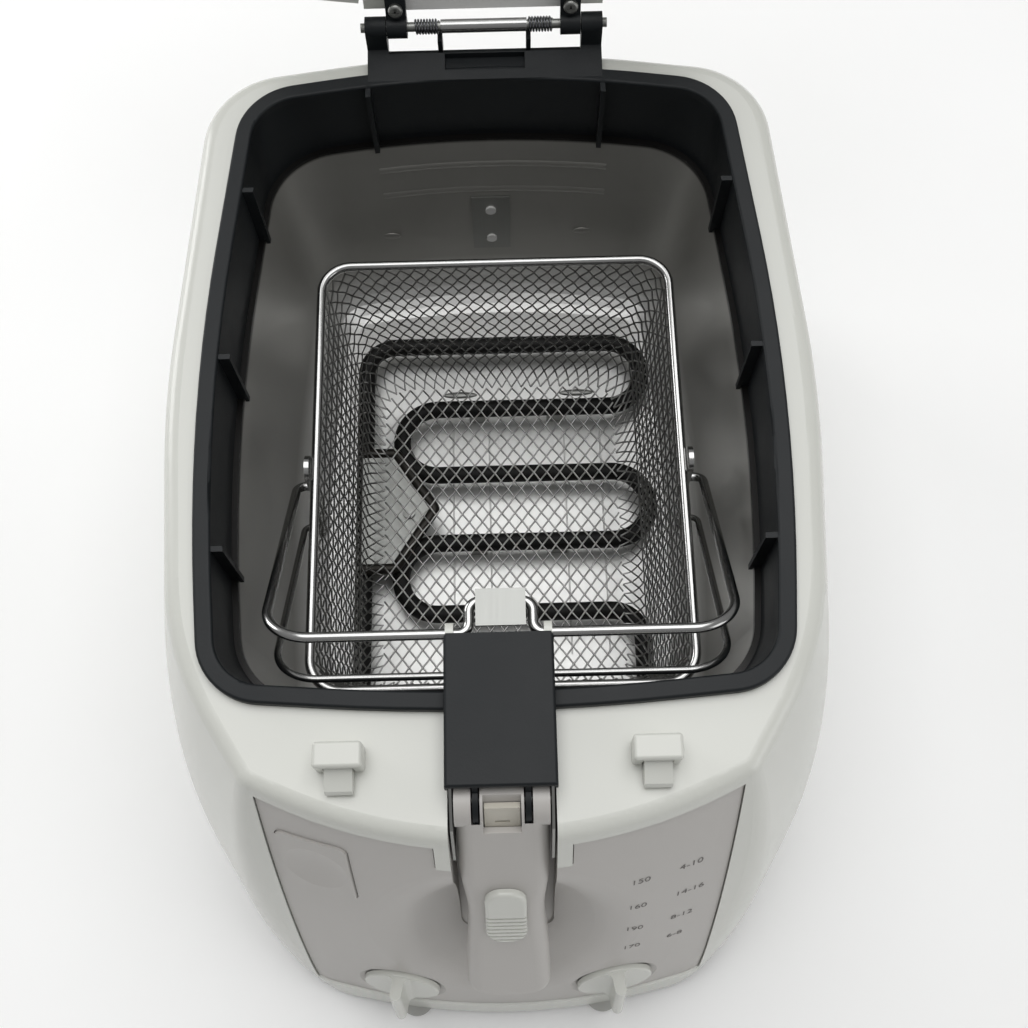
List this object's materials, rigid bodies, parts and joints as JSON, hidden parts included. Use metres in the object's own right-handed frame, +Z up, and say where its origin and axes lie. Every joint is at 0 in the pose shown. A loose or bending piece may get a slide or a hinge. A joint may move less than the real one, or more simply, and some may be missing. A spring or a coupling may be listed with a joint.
{
  "type": "deep fryer",
  "caption": "Home deep fryer with a hinged lid, an oil pot with a tube heater, a lifting wire basket on a folding handle, knobs on a sloping front and a lid release button.",
  "frame": {"origin": "on the table, under the middle of the bounding box of the fryer with its lid open", "axes": "+X to the right, +Y to the back (hinge side), +Z up"},
  "size_m": [0.2942, 0.5134, 0.5394],
  "materials": {
    "white_plastic": "glossy moulded white",
    "panel_plastic": "semi-gloss light grey",
    "black_plastic": "satin black",
    "chrome_wire": "bright plated wire",
    "pot_metal": "satin grey",
    "steel": "plain steel",
    "heater_black": "satin black tube",
    "liner_metal": "dark semi-gloss",
    "seal_rubber": "matte black",
    "bolt_plastic": "satin beige",
    "bush_plastic": "white",
    "filter_fibre": "loose fibre"
  },
  "bodies": {
    "housing": {"outer_housing": "white_plastic", "front_panel": "panel_plastic", "handle_cradle": "panel_plastic", "rim_collar": "black_plastic", "hinge_pin": "steel", "hinge_sleeve": "steel", "hinge_spring_left": "steel", "hinge_spring_right": "steel", "oil_pot": "pot_metal", "pot_standoffs": "steel", "heater_element": "heater_black", "heater_bushings": "black_plastic", "heater_clips": "steel", "sensor_guard": "steel", "sensor_guard_screw": "steel", "level_plate": "pot_metal", "level_plate_rivets": "pot_metal", "timer_unit": "black_plastic", "thermostat_unit": "black_plastic", "base_plate": "black_plastic", "feet": "seal_rubber", "base_screws": "steel", "terminal_block": "black_plastic", "thermal_cutout": "steel", "cord_gland": "black_plastic", "latch_housing_left": "white_plastic", "latch_housing_right": "white_plastic"},
    "lid": {"lid_shell": "white_plastic", "lid_liner": "liner_metal", "lid_gasket": "seal_rubber", "filter_cover": "white_plastic", "filter_mat": "filter_fibre", "lid_hinge_arms": "black_plastic", "lid_screws": "steel", "lid_catches": "white_plastic"},
    "release_button": {"release_button": "white_plastic"},
    "latch": {"latch_link": "black_plastic", "latch_tongue_left": "white_plastic", "latch_tongue_right": "white_plastic"},
    "timer_knob": {"timer_knob": "white_plastic"},
    "thermostat_knob": {"thermostat_knob": "white_plastic"},
    "carrier": {"carrier_frame": "steel", "handle_block": "black_plastic", "handle_pin": "steel", "arm_bushes": "bush_plastic"},
    "handle": {"handle_grip": "white_plastic", "handle_back": "white_plastic", "handle_screws": "steel"},
    "slider": {"slider_button": "white_plastic", "lock_bolt": "bolt_plastic"},
    "arm_upper": {"arm_upper": "chrome_wire", "crank_tab": "steel"},
    "arm_lower": {"arm_lower": "chrome_wire"},
    "basket": {"basket_mesh": "chrome_wire", "basket_rim": "chrome_wire", "basket_hangers": "chrome_wire"}
  },
  "joints": [
    {"name": "lid_hinge", "type": "hinge", "parent": "housing", "child": "lid", "pos_m": [0, 0.14608, 0.212], "axis": [-1, 0, 0], "range_deg": [-105, 0]},
    {"name": "release_button_press", "type": "slide", "parent": "housing", "child": "release_button", "axis": [0.3084, 0.8791, -0.3633], "range_m": [0, 0.004], "stiffness_N_per_m": 500},
    {"name": "latch_slide", "type": "slide", "parent": "housing", "child": "latch", "axis": [0, 1, 0], "range_m": [0, 0.0037]},
    {"name": "timer_turn", "type": "hinge", "parent": "housing", "child": "timer_knob", "pos_m": [-0.048, -0.24248, 0.044], "axis": [0.1674, 0.9547, -0.2459], "range_deg": [0, 300]},
    {"name": "thermostat_turn", "type": "hinge", "parent": "housing", "child": "thermostat_knob", "pos_m": [0.048, -0.24248, 0.044], "axis": [-0.1674, 0.9547, -0.2459], "range_deg": [0, 270]},
    {"name": "basket_lift", "type": "slide", "parent": "housing", "child": "carrier", "axis": [0, 0, 1], "range_m": [0, 0.22]},
    {"name": "handle_fold", "type": "hinge", "parent": "carrier", "child": "handle", "pos_m": [0.001, -0.18012, 0.194], "axis": [-1, 0, 0], "range_deg": [0, 75]},
    {"name": "arm_upper_turn", "type": "hinge", "parent": "carrier", "child": "arm_upper", "pos_m": [0.002, -0.12162, 0.204], "axis": [1, 0, 0], "range_deg": [0, 24]},
    {"name": "arm_lower_turn", "type": "hinge", "parent": "carrier", "child": "arm_lower", "pos_m": [0.002, -0.13162, 0.18], "axis": [1, 0, 0], "range_deg": [0, 24]},
    {"name": "basket_pivot", "type": "hinge", "parent": "arm_upper", "child": "basket", "pos_m": [0.002, -0.03712, 0.14], "axis": [1, 0, 0], "range_deg": [-24, 0]},
    {"name": "slider_slide", "type": "slide", "parent": "handle", "child": "slider", "axis": [0, -0.4587, -0.8886], "range_m": [0, 0.007], "stiffness_N_per_m": 300}
  ],
  "couplings": [
    {"joint": "latch_slide", "follows": "release_button_press", "ratio": 0.8791},
    {"joint": "arm_upper_turn", "follows": "handle_fold", "ratio": 0.32},
    {"joint": "arm_lower_turn", "follows": "handle_fold", "ratio": 0.32},
    {"joint": "basket_pivot", "follows": "handle_fold", "ratio": -0.32}
  ]
}
